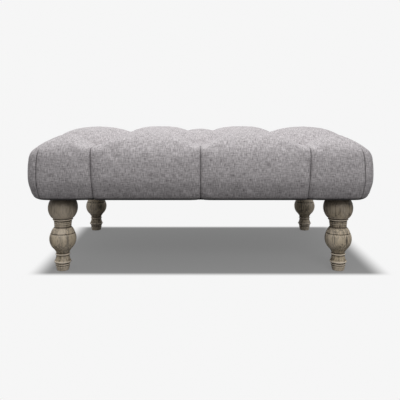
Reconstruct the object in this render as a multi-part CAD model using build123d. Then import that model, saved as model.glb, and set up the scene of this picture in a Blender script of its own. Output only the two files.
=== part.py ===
from build123d import *
import os
from math import asin, cos, hypot, pi, radians, sin, sqrt, tan

# Deep-buttoned footstool, padded all over, on four turned timber legs.
# Sizes are millimetres. The origin is on the floor under the middle of the stool,
# X runs along its length, Y from front to back and Z up.

os.makedirs("parts", exist_ok=True)

# Overall size of the padded body
stool_length = 950.0
stool_depth = 680.0

# Members of the turned leg from the floor up. The balls and the shoulder are zones of spheres.
foot_height = 14.7
foot_tip_diameter = 33.0
foot_diameter = 38.3
foot_edge = 2.0
foot_bead_height = 5.6
foot_bead_diameter = 41.0
foot_groove_diameter = 37.0
collar_height = 7.3
collar_diameter = 46.5
collar_top_diameter = 44.8
flare_height = 13.8
ankle_height = 8.2
ankle_diameter = 36.4
ankle_bead_height = 4.2
ankle_bead_diameter = 40.6
stem_height = 12.4
stem_top_diameter = 52.0
lower_ball_diameter = 74.8
lower_ball_height = 37.9
shoulder_height = 22.4
shoulder_diameter = 69.0
neck_height = 16.4
neck_diameter = 45.4
neck_top_diameter = 50.4
ring_height = 4.6
ring_diameter = 56.6
upper_ball_diameter = 82.8
upper_ball_neck_diameter = 52.0
seat_diameter = 60.0
leg_inset = 87.0

# Where the collar is widest and the flare is hollowest, as shares of their own sizes
collar_belly_share = 0.45
flare_hollow_share = 0.5

# A small bead's outline, as shares of its height and of its swell
bead_shares = ((0.3, 1), (0.7, 1), (1, 0))

# Cloths and the small gap between soft layers
dust_cover_thickness = 0.8
dust_cover_inset = 50.0
dust_cover_corner = 30.0
cover_thickness = 1.5
hem_width = 22.0
layer_gap = 0.3

# Plan and profile of the padded body
corner_radius = 50.0
under_roll = 38.0
under_roll_height = 60.0
crown_base_height = 85.0
side_radius = 162.0
side_turn = 14.3
shoulder_radius = 38.0
shoulder_turn = 60.0
crown_radius = 287.0
crown_turn = 80.0

# Pleats down the faces and their distance from the ends of the stool
end_pleat_margin = 180.0
face_pleat_margin = 178.0
pleat_draw = 7.0
pleat_roll = 12.0
pleat_overrun = 5.0
pleat_sill = 19.0
sill_reach = 40.0

# Tufted puffs of the top, and how far each kind stays below the highest
crest_height = 187.0
button_sink = 59.0
puff_roll = 123.0
puff_overrun = 150.0
crease_width = 2.0
centre_puff_drop = 3.0
face_puff_drop = 8.0

# Covered buttons, the twine that holds them and the toggles that it is tied to
button_diameter = 26.0
button_height = 8.5
button_back_diameter = 21.0
button_back_thickness = 1.2
button_rim_height = 2.5
eye_width = 8.0
eye_height = 6.5
eye_thickness = 1.4
eye_hole_width = 3.6
twine_width = 1.6
twine_play = 0.3
stitch_hole_diameter = 10.0
toggle_diameter = 20.0
toggle_thickness = 3.0
knot_diameter = 6.4
knot_height = 4.0

# Timber frame under the padding
frame_inset = 48.0
rail_thickness = 22.0
rail_height = 80.0
deck_thickness = 9.0
deck_hole_diameter = 8.0
brace_height = 45.0
block_width = 70.0
block_height = 55.0
block_chamfer = 30.0
fit_gap = 0.15

# Hanger bolts and tee nuts of the legs
bolt_diameter = 8.0
bolt_depth = 40.0
bolt_tip = 5.0
bolt_stand = 6.0
nut_flange_diameter = 20.0
nut_flange_thickness = 1.5
nut_barrel_diameter = 10.4
nut_barrel_depth = 9.0

cut_overrun = 5.0
tiny = 0.001


# Height from a circle of a sphere to its middle
def sphere_rise(width, circle):
    return sqrt(width**2 - circle**2) / 2


# Levels and places worked out from the sizes above
upper_ball_height = (sphere_rise(upper_ball_diameter, upper_ball_neck_diameter)
                     + sphere_rise(upper_ball_diameter, seat_diameter))
leg_members = [foot_height, foot_bead_height, collar_height, flare_height, ankle_height, stem_height,
               lower_ball_height, shoulder_height, neck_height, ring_height, upper_ball_height]
leg_height = sum(leg_members)
underside = leg_height + dust_cover_thickness
half_length = stool_length / 2
half_depth = stool_depth / 2
crest_level = underside + crest_height
puff_floor = crest_level - button_sink
button_x = half_length - end_pleat_margin
button_y = half_depth - face_pleat_margin
middle_button_x = button_x / 2
rail_floor = underside + cover_thickness
deck_floor = rail_floor + rail_height
deck_top = deck_floor + deck_thickness
frame_x = half_length - frame_inset
frame_y = half_depth - frame_inset
leg_x = half_length - leg_inset
leg_y = half_depth - leg_inset
brace_x = (middle_button_x + button_x) / 2
block_top = underside + block_height
foam_depth = cover_thickness + layer_gap

leg_places = {"front_left": (-leg_x, -leg_y), "front_right": (leg_x, -leg_y),
              "rear_left": (-leg_x, leg_y), "rear_right": (leg_x, leg_y)}
button_places = [(x, y) for y in (-button_y, button_y) for x in (-button_x, 0, button_x)]
button_places += [(-middle_button_x, 0), (middle_button_x, 0)]


def save(shape, name):
    export_step(shape, "parts/" + name + ".step")


def block_between(low, high):
    size = [b - a for a, b in zip(low, high)]
    return Pos(*low) * Box(*size, align=(Align.MIN, Align.MIN, Align.MIN))


def upright(radius, low, high):
    return Pos(0, 0, low) * Cylinder(radius, high - low, align=(Align.CENTER, Align.CENTER, Align.MIN))


def at_buttons(shape):
    return [Pos(x, y, 0) * shape for x, y in button_places]


# Turned leg: each member adds its edges to the half profile, floor upwards
def leg_profile():
    edges = []
    here = [(0, 0)]

    def line_to(radius, level):
        edges.append(Line(here[0], (radius, level)))
        here[0] = (radius, level)

    def bead(width, height):
        # a small bead on the present radius, as short flats
        radius, level = here[0]
        for height_share, swell in bead_shares:
            line_to(radius + (width / 2 - radius) * swell, level + height * height_share)

    def sphere_to(width, centre, radius, level):
        # a zone of a sphere whose middle is on the leg's axis
        middle = (here[0][1] + level) / 2
        middle_radius = sqrt(width**2 / 4 - (middle - centre)**2)
        edges.append(ThreePointArc(here[0], (middle_radius, middle), (radius, level)))
        here[0] = (radius, level)

    line_to(foot_tip_diameter / 2 - foot_edge, 0)
    line_to(foot_tip_diameter / 2, foot_edge)
    line_to(foot_diameter / 2, foot_height - foot_edge)
    line_to(foot_groove_diameter / 2, foot_height)
    bead(foot_bead_diameter, foot_bead_height)
    level = foot_height + foot_bead_height
    line_to(collar_diameter / 2, level + collar_height * collar_belly_share)
    line_to(collar_top_diameter / 2, level + collar_height)
    level += collar_height
    hollow = ankle_diameter + (collar_top_diameter - ankle_diameter) * flare_hollow_share**2
    line_to(hollow / 2, level + flare_height * flare_hollow_share)
    line_to(ankle_diameter / 2, level + flare_height)
    level += flare_height
    fillet_strip = (ankle_height - ankle_bead_height) / 2
    line_to(ankle_diameter / 2, level + fillet_strip)
    bead(ankle_bead_diameter, ankle_bead_height)
    line_to(ankle_diameter / 2, level + ankle_height)
    level += ankle_height + stem_height
    line_to(stem_top_diameter / 2, level)
    centre = level + sphere_rise(lower_ball_diameter, stem_top_diameter)
    level += lower_ball_height
    top_radius = sqrt(lower_ball_diameter**2 / 4 - (level - centre)**2)
    sphere_to(lower_ball_diameter, centre, top_radius, level)
    # the shoulder starts with a small step inwards and ends at the neck
    centre = level + shoulder_height - sphere_rise(shoulder_diameter, neck_diameter)
    step_radius = sqrt(shoulder_diameter**2 / 4 - (level - centre)**2)
    line_to(step_radius, level)
    level += shoulder_height
    sphere_to(shoulder_diameter, centre, neck_diameter / 2, level)
    level += neck_height
    line_to(neck_top_diameter / 2, level)
    bead(ring_diameter, ring_height)
    level += ring_height
    line_to(upper_ball_neck_diameter / 2, level)
    centre = level + sphere_rise(upper_ball_diameter, upper_ball_neck_diameter)
    sphere_to(upper_ball_diameter, centre, seat_diameter / 2, leg_height)
    line_to(0, leg_height)
    line_to(0, 0)
    return make_face(edges)


def leg():
    turned = revolve(Plane.XZ * leg_profile(), Axis.Z)
    return turned - upright(bolt_diameter / 2 + fit_gap, leg_height - bolt_depth, leg_height + cut_overrun)


# Side profile of the padded body as tangent arcs, at a depth below the cloth's outer face.
# Each point is an inset from the widest place and a level.
def arc_point(centre, radius, turn):
    return (centre[0] - radius * cos(turn), centre[1] + radius * sin(turn))


def side_profile(depth):
    shoulder_from = radians(side_turn)
    crown_from = radians(shoulder_turn)
    under_radius = (under_roll_height**2 + under_roll**2) / (2 * under_roll)
    under_centre = (under_radius, underside + under_roll_height)
    under_turn = -asin((under_roll_height - depth) / (under_radius - depth))
    side_centre = (side_radius, underside + crown_base_height)
    shoulder_centre = shifted(side_centre, side_radius - shoulder_radius, shoulder_from)
    crown_centre = shifted(shoulder_centre, shoulder_radius - crown_radius, crown_from)
    edges = []
    for centre, radius, start, end in ((under_centre, under_radius, under_turn, 0),
                                       (side_centre, side_radius, 0, shoulder_from),
                                       (shoulder_centre, shoulder_radius, shoulder_from, crown_from),
                                       (crown_centre, crown_radius, crown_from, radians(crown_turn))):
        if edges:
            edges.append((edges[-1][-1], arc_point(centre, radius - depth, start)))
        edges.append(tuple(arc_point(centre, radius - depth, turn)
                           for turn in (start, (start + end) / 2, end)))
    return [edge for edge in edges if hypot(edge[-1][0] - edge[0][0], edge[-1][1] - edge[0][1]) > tiny]


def shifted(centre, distance, turn):
    return (centre[0] - distance * cos(turn), centre[1] + distance * sin(turn))


def drawn(edges):
    return [ThreePointArc(*edge) if len(edge) == 3 else Line(*edge) for edge in edges]


# Cross section with the side profile at both ends, and a low ridge that the puffs keep below
def cross_section(half, depth):
    edges = side_profile(depth)
    right = [tuple((half - inset, level) for inset, level in edge) for edge in edges]
    left = [tuple((inset - half, level) for inset, level in edge) for edge in edges]
    reach, level = right[-1][-1]
    apex = (0, level + reach * tan(pi / 2 - radians(crown_turn)))
    roof = [Line((-reach, level), apex), Line(apex, (reach, level))]
    return make_face(drawn(right) + drawn(left) + roof + [Line(left[0][0], right[0][0])])


# A quarter turn of the side profile about the axis of a rounded corner
def corner_quarter(depth):
    outline = cross_section(half_depth, depth)
    axis = half_depth - corner_radius
    strip = Pos(axis, 0) * Rectangle(corner_radius, 2 * crest_level, align=(Align.MIN, Align.CENTER))
    profile = Plane.XZ * (Pos(-axis, 0) * (outline & strip))
    return revolve(profile, Axis.Z, 90)


# The body's outline at a depth below the cloth's outer face, without its tufts
def body_envelope(depth):
    along_x = extrude(Plane.YZ * cross_section(half_depth, depth), half_length + cut_overrun, both=True)
    along_y = extrude(Plane.XZ * cross_section(half_length, depth), half_depth + cut_overrun, both=True)
    body = along_x & along_y
    corner_x = half_length - corner_radius
    corner_y = half_depth - corner_radius
    quarter = corner_quarter(depth)
    notch_side = corner_radius + cut_overrun
    notch = block_between((0, 0, 0), (notch_side, notch_side, 2 * crest_level))
    places = [Pos(corner_x, corner_y, 0), Pos(-corner_x, corner_y, 0) * Rot(0, 0, 90),
              Pos(-corner_x, -corner_y, 0) * Rot(0, 0, 180), Pos(corner_x, -corner_y, 0) * Rot(0, 0, 270)]
    body -= [place * notch for place in places]
    body += [place * quarter for place in places]
    groove = pleat_cutter(depth)
    grooves = [Pos(x, 0, 0) * Rot(0, 0, turn) * Pos(half_depth, 0, 0) * groove
               for x in (-button_x, 0, button_x) for turn in (-90, 90)]
    grooves += [Pos(0, y, 0) * Rot(0, 0, turn) * Pos(half_length, 0, 0) * groove
                for y in (-button_y, button_y) for turn in (0, 180)]
    return body - grooves


# A groove of V section that follows the side profile, for a widest place at X = 0
def pleat_cutter(depth):
    path = [tuple((-inset, level) for inset, level in edge) for edge in side_profile(depth)]
    start = Vector(*path[0][0])
    toward = Vector(*path[0][1]) - start
    entry = start - toward.normalized() * (pleat_overrun + depth)
    wire = Plane.XZ * Wire([Line(entry, start)] + drawn(path))
    base = Plane(origin=wire @ 0, x_dir=(0, 1, 0), z_dir=wire % 0)
    section = base * make_face(Polyline((-pleat_roll, 0), (0, pleat_draw), (pleat_roll, 0), close=True))
    return sweep(section, path=wire)


# Plan outline and highest level of each puff of the top
def puff_outlines():
    out_x = half_length + puff_overrun
    out_y = half_depth + puff_overrun
    rhombus = [(-middle_button_x, 0), (0, -button_y), (middle_button_x, 0), (0, button_y)]
    puffs = [(rhombus, crest_level - centre_puff_drop)]
    for s in (-1, 1):
        end = [(s * out_x, -button_y), (s * button_x, -button_y), (s * middle_button_x, 0),
               (s * button_x, button_y), (s * out_x, button_y)]
        puffs.append((end, crest_level))
        for t in (-1, 1):
            face = [(s * button_x, t * out_y), (s * button_x, t * button_y), (s * middle_button_x, 0),
                    (0, t * button_y), (0, t * out_y)]
            puffs.append((face, crest_level - face_puff_drop))
            corner = [(s * out_x, t * out_y), (s * out_x, t * button_y),
                      (s * button_x, t * button_y), (s * button_x, t * out_y)]
            puffs.append((corner, crest_level))
    return puffs


# A puff rises from each side of its outline in an arc and is the space common to them all
def puff(outline, crest, depth):
    rise = crest - puff_floor
    radius = (puff_roll**2 + rise**2) / (2 * rise)
    centre = (crease_width / 2 + puff_roll, crest - radius)
    floor = puff_floor - depth
    low = underside - cut_overrun
    foot = asin((floor - centre[1]) / (radius - depth))
    turns = (foot, (foot + pi / 2) / 2, pi / 2)
    start, middle, end = (arc_point(centre, radius - depth, turn) for turn in turns)
    far = (stool_length, end[1])
    rolled = make_face([Line((start[0], low), start), ThreePointArc(start, middle, end), Line(end, far),
                        Line(far, (far[0], low)), Line((far[0], low), (start[0], low))])
    middle_x = sum(x for x, y in outline) / len(outline)
    middle_y = sum(y for x, y in outline) / len(outline)
    shape = None
    for (x, y), (next_x, next_y) in zip(outline, outline[1:] + outline[:1]):
        along = Vector(next_x - x, next_y - y, 0).normalized()
        inward = Vector(-along.Y, along.X, 0)
        if inward.dot(Vector(middle_x - x, middle_y - y, 0)) < 0:
            inward = -inward
        side = Plane(origin=(x, y, 0), x_dir=inward, z_dir=inward.cross(Vector(0, 0, 1)))
        wall = extrude(side * rolled, stool_length, both=True)
        shape = wall if shape is None else shape & wall
    return shape


# The whole tufted body at a depth below the cloth's outer face
def padded_body(depth):
    floor = puff_floor - depth
    low = underside - cut_overrun
    mass = block_between((-stool_length, -stool_depth, low), (stool_length, stool_depth, floor))
    # the pleats' floor climbs from the outer buttons to a sill near the edge
    sill = block_between((-stool_length, -stool_depth, low), (stool_length, stool_depth, floor + pleat_sill))
    foot = button_diameter / 2 + layer_gap + depth
    basin = [Pos(0, 0, level) * Rectangle(2 * (button_x + reach), 2 * (button_y + reach))
             for reach, level in ((foot, floor), (foot + sill_reach, floor + pleat_sill))]
    well = block_between((-button_x - foot, -button_y - foot, low - cut_overrun),
                         (button_x + foot, button_y + foot, floor))
    mass += sill - loft(basin) - well
    mass += [puff(outline, crest, depth) for outline, crest in puff_outlines()]
    body = body_envelope(depth) & mass
    pocket = upright(button_diameter / 2 + layer_gap + depth, floor, crest_level + cut_overrun)
    return body - at_buttons(pocket)


stitch_hole = upright(stitch_hole_diameter / 2, deck_floor, crest_level)


# Cloth cover: one sewn skin that is turned under the frame and stapled
def cover():
    mouth_x = half_length - under_roll - hem_width
    mouth_y = half_depth - under_roll - hem_width
    mouth = block_between((-mouth_x, -mouth_y, 0), (mouth_x, mouth_y, rail_floor + layer_gap))
    return padded_body(0) - padded_body(cover_thickness) - mouth - at_buttons(stitch_hole)


# Foam: a tufted block on the deck, and pads on the four faces of the frame
def foam_parts():
    foam = padded_body(foam_depth)
    seat = deck_top + layer_gap
    block = foam & block_between((-half_length, -half_depth, seat), (half_length, half_depth, crest_level))
    parts = {"foam_block": block - at_buttons(stitch_hole)}
    skirt = foam & block_between((-half_length, -half_depth, 0), (half_length, half_depth, deck_top))
    near_y = frame_y + layer_gap
    near_x = frame_x + layer_gap
    parts["front_pad"] = skirt & block_between((-half_length, -half_depth, 0),
                                               (half_length, -near_y, deck_top))
    parts["rear_pad"] = skirt & block_between((-half_length, near_y, 0), (half_length, half_depth, deck_top))
    parts["left_pad"] = skirt & block_between((-half_length, -frame_y, 0), (-near_x, frame_y, deck_top))
    parts["right_pad"] = skirt & block_between((near_x, -frame_y, 0), (half_length, frame_y, deck_top))
    return parts


# Timber frame: two long rails, two end rails between them, and two braces under the deck
def frame_parts():
    inner_x = frame_x - rail_thickness
    inner_y = frame_y - rail_thickness
    half_brace = rail_thickness / 2
    parts = {
        "front_rail": block_between((-frame_x, -frame_y, rail_floor), (frame_x, -inner_y, deck_floor)),
        "rear_rail": block_between((-frame_x, inner_y, rail_floor), (frame_x, frame_y, deck_floor)),
        "left_rail": block_between((-frame_x, -inner_y, rail_floor), (-inner_x, inner_y, deck_floor)),
        "right_rail": block_between((inner_x, -inner_y, rail_floor), (frame_x, inner_y, deck_floor)),
        "deck_panel": block_between((-frame_x, -frame_y, deck_floor), (frame_x, frame_y, deck_top)),
    }
    for name, x in (("left_brace", -brace_x), ("right_brace", brace_x)):
        parts[name] = block_between((x - half_brace, -inner_y, deck_floor - brace_height),
                                    (x + half_brace, inner_y, deck_floor))
    deck_hole = upright(deck_hole_diameter / 2, deck_floor - cut_overrun, deck_top + cut_overrun)
    parts["deck_panel"] -= at_buttons(deck_hole)
    return parts


# Corner block with the hole of its tee nut, for a corner of the frame at the local origin
def corner_block():
    block = block_between((0, 0, underside), (block_width, block_width, block_top))
    inner_edge = block.edges().filter_by(Axis.Z).sort_by(lambda edge: edge.center().X + edge.center().Y)[-1]
    return chamfer(inner_edge, block_chamfer)


# Hanger bolt, screwed into the leg and up through the dust cover and the block
def leg_bolt():
    radius = bolt_diameter / 2
    foot = leg_height - bolt_depth + fit_gap
    top = block_top + nut_flange_thickness + bolt_stand
    outline = Polyline((0, foot), (radius, foot + bolt_tip), (radius, top - radius / 2), (radius / 2, top),
                       (0, top), close=True)
    return revolve(Plane.XZ * make_face(outline), Axis.Z)


def tee_nut():
    bore = upright(bolt_diameter / 2 + fit_gap, 0, 2 * crest_level)
    barrel = upright(nut_barrel_diameter / 2, block_top - nut_barrel_depth, block_top)
    return barrel + upright(nut_flange_diameter / 2, block_top, block_top + nut_flange_thickness) - bore


def dust_cover():
    outline = RectangleRounded(2 * (half_length - dust_cover_inset), 2 * (half_depth - dust_cover_inset),
                               dust_cover_corner)
    sheet = extrude(Pos(0, 0, leg_height) * outline, dust_cover_thickness)
    hole = upright(bolt_diameter / 2 + fit_gap, 0, crest_level)
    return sheet - [Pos(x, y, 0) * hole for x, y in leg_places.values()]


button_seat = puff_floor + layer_gap
eye_level = button_seat + button_back_thickness / 2 - eye_height + eye_width / 2
strand_y = eye_thickness / 2 + twine_play + twine_width / 2


# Cloth-covered button: a domed cap over a back plate with an eye
def button_cap():
    radius = button_diameter / 2
    dome = button_height - button_rim_height
    sphere = (radius**2 + dome**2) / (2 * dome)
    lip = button_seat + button_rim_height
    top = button_seat + button_height
    middle = radius / 2
    middle_level = top - sphere + sqrt(sphere**2 - middle**2)
    profile = make_face([Line((0, button_seat), (radius, button_seat)),
                         Line((radius, button_seat), (radius, lip)),
                         ThreePointArc((radius, lip), (middle, middle_level), (0, top)),
                         Line((0, top), (0, button_seat))])
    recess = upright(button_back_diameter / 2 + fit_gap, 0, button_seat + button_back_thickness + fit_gap)
    return revolve(Plane.XZ * profile, Axis.Z) - recess


def button_back():
    plate = upright(button_back_diameter / 2, button_seat, button_seat + button_back_thickness)
    half_eye = eye_width / 2
    tab = block_between((-half_eye, -eye_thickness / 2, eye_level - half_eye),
                        (half_eye, eye_thickness / 2, button_seat + button_back_thickness))
    hole = Pos(0, 0, eye_level) * Box(eye_hole_width, 2 * eye_thickness, eye_hole_width)
    return plate + (tab - hole)


# Twine through the eye, down through foam and deck to a toggle, and knotted under it
def button_twine():
    knot_top = deck_floor - toggle_thickness - 2 * fit_gap
    foot = knot_top - knot_height / 2
    loop_top = eye_level - eye_hole_width / 2 + twine_play + twine_width / 2
    path = Plane.YZ * Polyline((-strand_y, foot), (-strand_y, loop_top),
                               (strand_y, loop_top), (strand_y, foot))
    section = Plane(origin=path @ 0, z_dir=path % 0) * Rectangle(twine_width, twine_width)
    strands = sweep(section, path=path, transition=Transition.RIGHT)
    return strands + upright(knot_diameter / 2, knot_top - knot_height, knot_top)


def toggle():
    top = deck_floor - fit_gap
    disc = upright(toggle_diameter / 2, top - toggle_thickness, top)
    slot_width = twine_width + 2 * fit_gap
    slot = Pos(0, 0, top) * Box(slot_width, 2 * strand_y + slot_width, toggle_diameter)
    return disc - slot


def write_all():
    save(cover(), "cover")
    for name, shape in {**foam_parts(), **frame_parts()}.items():
        save(shape, name)
    block = corner_block()
    inner_x = frame_x - rail_thickness
    inner_y = frame_y - rail_thickness
    bolt_hole = upright(bolt_diameter / 2 + fit_gap, 0, crest_level)
    barrel_floor = block_top - nut_barrel_depth - fit_gap
    barrel_hole = upright(nut_barrel_diameter / 2 + fit_gap, barrel_floor, crest_level)
    corners = {"front_left": (-inner_x, -inner_y, 0), "front_right": (inner_x, -inner_y, 90),
               "rear_right": (inner_x, inner_y, 180), "rear_left": (-inner_x, inner_y, 270)}
    for name, (x, y, turn) in corners.items():
        place = Pos(*leg_places[name], 0)
        placed_block = Pos(x, y, 0) * Rot(0, 0, turn) * block
        save(placed_block - place * bolt_hole - place * barrel_hole, "corner_block_" + name)
        save(place * leg(), "leg_" + name)
    save(Compound([Pos(x, y, 0) * leg_bolt() for x, y in leg_places.values()]), "leg_bolts")
    save(Compound([Pos(x, y, 0) * tee_nut() for x, y in leg_places.values()]), "tee_nuts")
    save(dust_cover(), "dust_cover")
    save(Compound(at_buttons(button_cap())), "button_caps")
    save(Compound(at_buttons(button_back())), "button_backs")
    save(Compound(at_buttons(button_twine())), "button_twines")
    save(Compound(at_buttons(toggle())), "twine_toggles")


write_all()
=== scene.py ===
import math

import bmesh
import bpy
import numpy as np
from mathutils import Matrix, Vector


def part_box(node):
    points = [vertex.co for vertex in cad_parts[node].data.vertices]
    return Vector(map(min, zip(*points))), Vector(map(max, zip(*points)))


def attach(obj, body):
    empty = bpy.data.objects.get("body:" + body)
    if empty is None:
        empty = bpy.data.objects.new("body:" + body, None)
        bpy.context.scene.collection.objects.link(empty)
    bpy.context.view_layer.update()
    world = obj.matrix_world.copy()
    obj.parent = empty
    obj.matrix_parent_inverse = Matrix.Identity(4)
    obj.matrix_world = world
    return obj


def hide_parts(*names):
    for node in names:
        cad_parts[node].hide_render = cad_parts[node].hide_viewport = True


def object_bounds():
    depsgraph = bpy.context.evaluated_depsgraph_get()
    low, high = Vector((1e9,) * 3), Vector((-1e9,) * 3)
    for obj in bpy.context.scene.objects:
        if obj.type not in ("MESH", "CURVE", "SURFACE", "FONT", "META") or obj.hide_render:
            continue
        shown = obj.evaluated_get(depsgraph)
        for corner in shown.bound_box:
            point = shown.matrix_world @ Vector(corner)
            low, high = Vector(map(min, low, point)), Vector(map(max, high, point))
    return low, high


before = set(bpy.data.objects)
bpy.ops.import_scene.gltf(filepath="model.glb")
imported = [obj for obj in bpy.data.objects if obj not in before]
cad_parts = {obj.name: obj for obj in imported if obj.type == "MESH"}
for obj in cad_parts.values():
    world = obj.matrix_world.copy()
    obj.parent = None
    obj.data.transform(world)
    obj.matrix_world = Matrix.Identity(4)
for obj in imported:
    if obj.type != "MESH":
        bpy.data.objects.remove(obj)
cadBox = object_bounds()
mergeDistance = 0.00001


def meshPiece(name, bm):
    bmesh.ops.remove_doubles(bm, verts=bm.verts, dist=mergeDistance)
    bmesh.ops.recalc_face_normals(bm, faces=bm.faces)
    mesh = bpy.data.meshes.new(name)
    bm.to_mesh(mesh)
    bm.free()
    mesh.shade_smooth()
    piece = bpy.data.objects.new(name, mesh)
    bpy.context.scene.collection.objects.link(piece)
    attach(piece, "root")
    return piece


def applyModifiers(piece):
    ready = piece.evaluated_get(bpy.context.evaluated_depsgraph_get())
    mesh = bpy.data.meshes.new_from_object(ready)
    piece.modifiers.clear()
    old = piece.data
    piece.data = mesh
    bpy.data.meshes.remove(old)


def readPoints(mesh):
    points = np.empty(len(mesh.vertices) * 3)
    mesh.vertices.foreach_get("co", points)
    return points.reshape(-1, 3)


def readNormals(mesh):
    normals = np.empty(len(mesh.vertices) * 3)
    mesh.vertices.foreach_get("normal", normals)
    return normals.reshape(-1, 3)


def writePoints(mesh, points):
    mesh.vertices.foreach_set("co", points.ravel())
    mesh.update()


def paintPoints(mesh, name, values):
    layer = mesh.attributes.new(name, "FLOAT", "POINT")
    layer.data.foreach_set("value", np.asarray(values, dtype=np.float32))


# a bell of height 1 round zero; power 4 has a flatter top
def bell(value, width, power=2):
    return np.exp(-(value / width)**power)


# inputs and outputs are sockets' names with their kinds: Vector, Float or Color
def newGroup(name, inputs, outputs):
    group = bpy.data.node_groups.new(name, "ShaderNodeTree")
    for way, sockets in (("INPUT", inputs), ("OUTPUT", outputs)):
        for label, kind in sockets.items():
            group.interface.new_socket(label, in_out=way, socket_type="NodeSocket" + kind)
    return group, group.nodes.new("NodeGroupInput"), group.nodes.new("NodeGroupOutput")


def addNode(tree, kind, **settings):
    node = tree.nodes.new(kind)
    for key, value in settings.items():
        setattr(node, key, value)
    return node


# a noise is given as scale, detail and roughness; three scales stretch it along the axes
def noise(tree, vector, scale, detail, roughness):
    if isinstance(scale, tuple):
        mapping = addNode(tree, "ShaderNodeMapping")
        mapping.inputs["Scale"].default_value = scale
        tree.links.new(vector, mapping.inputs["Vector"])
        vector = mapping.outputs["Vector"]
        scale = 1.0
    node = addNode(tree, "ShaderNodeTexNoise")
    node.inputs["Scale"].default_value = scale
    node.inputs["Detail"].default_value = detail
    node.inputs["Roughness"].default_value = roughness
    tree.links.new(vector, node.inputs["Vector"])
    return node.outputs["Fac"]


def maths(tree, operation, a, b=None, clamp=False):
    node = addNode(tree, "ShaderNodeMath", operation=operation, use_clamp=clamp)
    for socket, value in zip(node.inputs, (a, b)):
        if value is None:
            continue
        if isinstance(value, (int, float)):
            socket.default_value = value
        else:
            tree.links.new(value, socket)
    return node.outputs[0]


def weighted(tree, *terms):
    total = 0.0
    for value, share in terms:
        total = maths(tree, "ADD", maths(tree, "MULTIPLY", value, share), total)
    return total


# what a value has above its start, times the gain, from 0 to 1
def lifted(tree, value, start, gain):
    return maths(tree, "MULTIPLY", maths(tree, "SUBTRACT", value, start), gain, clamp=True)


# how far a value is from a place, on either side
def apart(tree, value, place):
    return maths(tree, "ABSOLUTE", maths(tree, "SUBTRACT", value, place))


def fade(tree, value, start, end):
    node = addNode(tree, "ShaderNodeMapRange", interpolation_type="SMOOTHSTEP")
    node.inputs["From Min"].default_value = start
    node.inputs["From Max"].default_value = end
    tree.links.new(value, node.inputs["Value"])
    return node.outputs["Result"]


def splitAxes(tree, vector):
    node = addNode(tree, "ShaderNodeSeparateXYZ")
    tree.links.new(vector, node.inputs[0])
    return node.outputs


def mixColour(tree, share, a, b):
    node = addNode(tree, "ShaderNodeMix", data_type="RGBA")
    for socket, value in ((node.inputs[0], share), (node.inputs[6], a), (node.inputs[7], b)):
        if isinstance(value, (int, float, tuple)):
            socket.default_value = value
        else:
            tree.links.new(value, socket)
    return node.outputs[2]


def mixShader(tree, share, first, second):
    node = addNode(tree, "ShaderNodeMixShader")
    for socket, value in zip(node.inputs, (share, first, second)):
        tree.links.new(value, socket)
    return node.outputs[0]


toneStops = (0.3, 0.7)  # where a two-tone noise is fully dark and fully light


def twoTone(tree, value, dark, light):
    node = addNode(tree, "ShaderNodeValToRGB")
    for element, place, colour in zip(node.color_ramp.elements, toneStops, (dark, light)):
        element.position = place
        element.color = (*colour, 1)
    tree.links.new(value, node.inputs[0])
    return node.outputs[0]


def newMaterial(name, roughness):
    material = bpy.data.materials.new(name)
    material.use_nodes = True
    tree = material.node_tree
    shader = tree.nodes["Principled BSDF"]
    shader.inputs["Roughness"].default_value = roughness
    return material, tree, shader


def useGroup(tree, group, vector, **values):
    node = addNode(tree, "ShaderNodeGroup", node_tree=group)
    tree.links.new(vector, node.inputs["Vector"])
    for key, value in values.items():
        node.inputs[key].default_value = value
    return node


def addBump(tree, shader, height, strength, distance):
    bump = addNode(tree, "ShaderNodeBump")
    bump.inputs["Strength"].default_value = strength
    bump.inputs["Distance"].default_value = distance
    tree.links.new(height, bump.inputs["Height"])
    tree.links.new(bump.outputs[0], shader.inputs["Normal"])


def attribute(tree, name):
    return addNode(tree, "ShaderNodeAttribute", attribute_name=name).outputs["Fac"]


def objectPlace(tree):
    return addNode(tree, "ShaderNodeTexCoord").outputs["Object"]


def setMaterial(piece, material):
    piece.data.materials.clear()
    piece.data.materials.append(material)


# the melange cloth; its fold colour is painted shade
fabric = {"dark": (0.19, 0.172, 0.178, 1), "light": (0.735, 0.697, 0.711, 1),
          "foldShade": (0.025, 0.022, 0.023, 1), "pitch": 0.0016, "roughness": 0.95, "specular": 0.15,
          "sheen": 0.25, "sheenRoughness": 0.45, "bump": 0.55, "bumpDistance": 0.0006,
          "sideShift": 3.1, "topShift": 1.7}  # the shifts keep each face's threads apart from the next one's

# the scales are across, down and off the cloth; shares are what each noise adds to the tone
yarn = {"down": ((480, 74, 1), 3.0, 0.6), "across": ((64, 460, 1), 3.0, 0.6),
        "flecks": ((800, 800, 1), 2.0, 0.6), "broad": ((26, 15, 1), 3.0, 0.55),
        "downShare": 1.0, "acrossShare": 0.85, "fleckShare": 0.45, "broadShare": 0.1, "threadShare": 0.16,
        "toneFrom": 0.962, "toneGain": 1.95, "threadRise": 0.5, "fibreRise": 0.9}


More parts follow.
